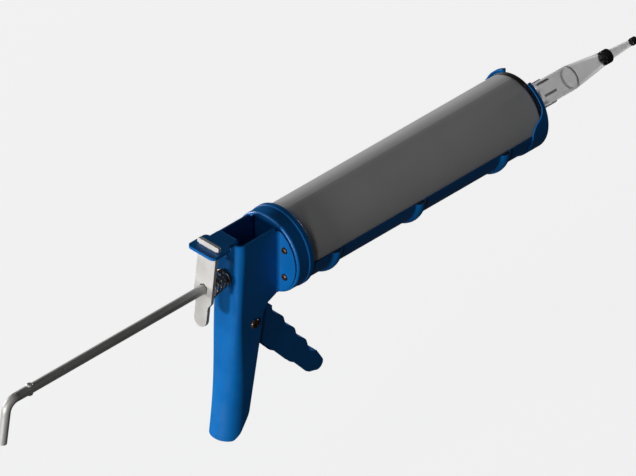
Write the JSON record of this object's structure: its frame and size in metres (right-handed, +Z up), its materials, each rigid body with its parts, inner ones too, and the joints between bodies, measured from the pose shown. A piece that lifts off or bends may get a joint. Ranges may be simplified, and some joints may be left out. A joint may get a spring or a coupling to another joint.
{
  "type": "caulking gun",
  "caption": "Cradle caulking gun with channel handle, wavy trigger, hooked push rod, release plate and a loaded cartridge with a tapered nozzle.",
  "frame": {"origin": "middle of the hand grip, between its folded back and its front edges, on the tool's middle plane", "axes": "+X along the push rod towards the nozzle, +Y to the tool's left, +Z up from the grip towards the rod"},
  "size_m": [0.5603, 0.0572, 0.1515],
  "materials": {
    "blue_paint": "gloss enamel, lightly worn at the edges",
    "zinc": "satin zinc plate",
    "rivet_bronze": "browned steel",
    "bar_steel": "cold drawn, oiled",
    "spring_steel": "oiled spring wire",
    "cartridge_grey": "satin",
    "rim_dark": "satin lacquer",
    "piston_plastic": "natural polyethylene",
    "dark_plastic": "dark moulded plastic",
    "nozzle_plastic": "translucent polyethylene"
  },
  "bodies": {
    "handle": {"handle_frame": "blue_paint", "rear_cap": "blue_paint", "cap_rivets": "rivet_bronze", "rod_bushing": "zinc", "cradle": "blue_paint", "front_cap": "blue_paint", "trigger_pin": "rivet_bronze", "trigger_pin_clip": "spring_steel", "release_bracket": "blue_paint", "bracket_rivet": "blue_paint", "drive_spring": "spring_steel", "release_spring": "spring_steel"},
    "trigger": {"trigger": "blue_paint"},
    "drive_plate": {"drive_plate": "zinc"},
    "release_plate": {"release_plate": "zinc"},
    "rod": {"push_rod": "bar_steel", "pull_hook": "bar_steel", "rod_stop_pin": "bar_steel", "plunger_washer": "zinc", "plunger_disc": "zinc", "plunger_nut": "zinc"},
    "cartridge": {"cartridge_tube": "cartridge_grey", "cartridge_rim": "rim_dark", "cartridge_head": "cartridge_grey"},
    "piston": {"cartridge_piston": "piston_plastic"},
    "nozzle": {"nozzle_base": "nozzle_plastic", "nozzle_ring": "dark_plastic", "nozzle_tip": "nozzle_plastic", "nozzle_collar": "dark_plastic"}
  },
  "joints": [
    {"name": "trigger_squeeze", "type": "hinge", "parent": "handle", "child": "trigger", "pos_m": [0.0087, 0, 0.0329], "axis": [0, 1, 0], "range_deg": [0, 30], "stiffness_Nm_per_rad": 0.4, "springref_deg": -11.46},
    {"name": "drive_plate_slide", "type": "slide", "parent": "handle", "child": "drive_plate", "axis": [1, 0, 0], "range_m": [0, 0.0132], "deforming": ["drive_spring"]},
    {"name": "release_tilt", "type": "hinge", "parent": "handle", "child": "release_plate", "pos_m": [-0.0195, 0, 0.0997], "axis": [0, -1, 0], "range_deg": [0, 7.4], "stiffness_Nm_per_rad": 0.3, "springref_deg": -8.59, "deforming": ["release_spring"]},
    {"name": "rod_slide", "type": "slide", "parent": "handle", "child": "rod", "axis": [1, 0, 0], "range_m": [-0.048, 0.143]},
    {"name": "cartridge_turn", "type": "hinge", "parent": "handle", "child": "cartridge", "pos_m": [0.15, 0, 0.07], "axis": [1, 0, 0], "continuous": true},
    {"name": "piston_slide", "type": "slide", "parent": "cartridge", "child": "piston", "axis": [1, 0, 0], "range_m": [-0.048, 0.143]},
    {"name": "nozzle_off", "type": "slide", "parent": "cartridge", "child": "nozzle", "axis": [1, 0, 0], "range_m": [0, 0.018]}
  ],
  "couplings": [
    {"joint": "drive_plate_slide", "follows": "trigger_squeeze", "m_per_rad": 0.025},
    {"joint": "piston_slide", "follows": "rod_slide", "ratio": 1}
  ]
}
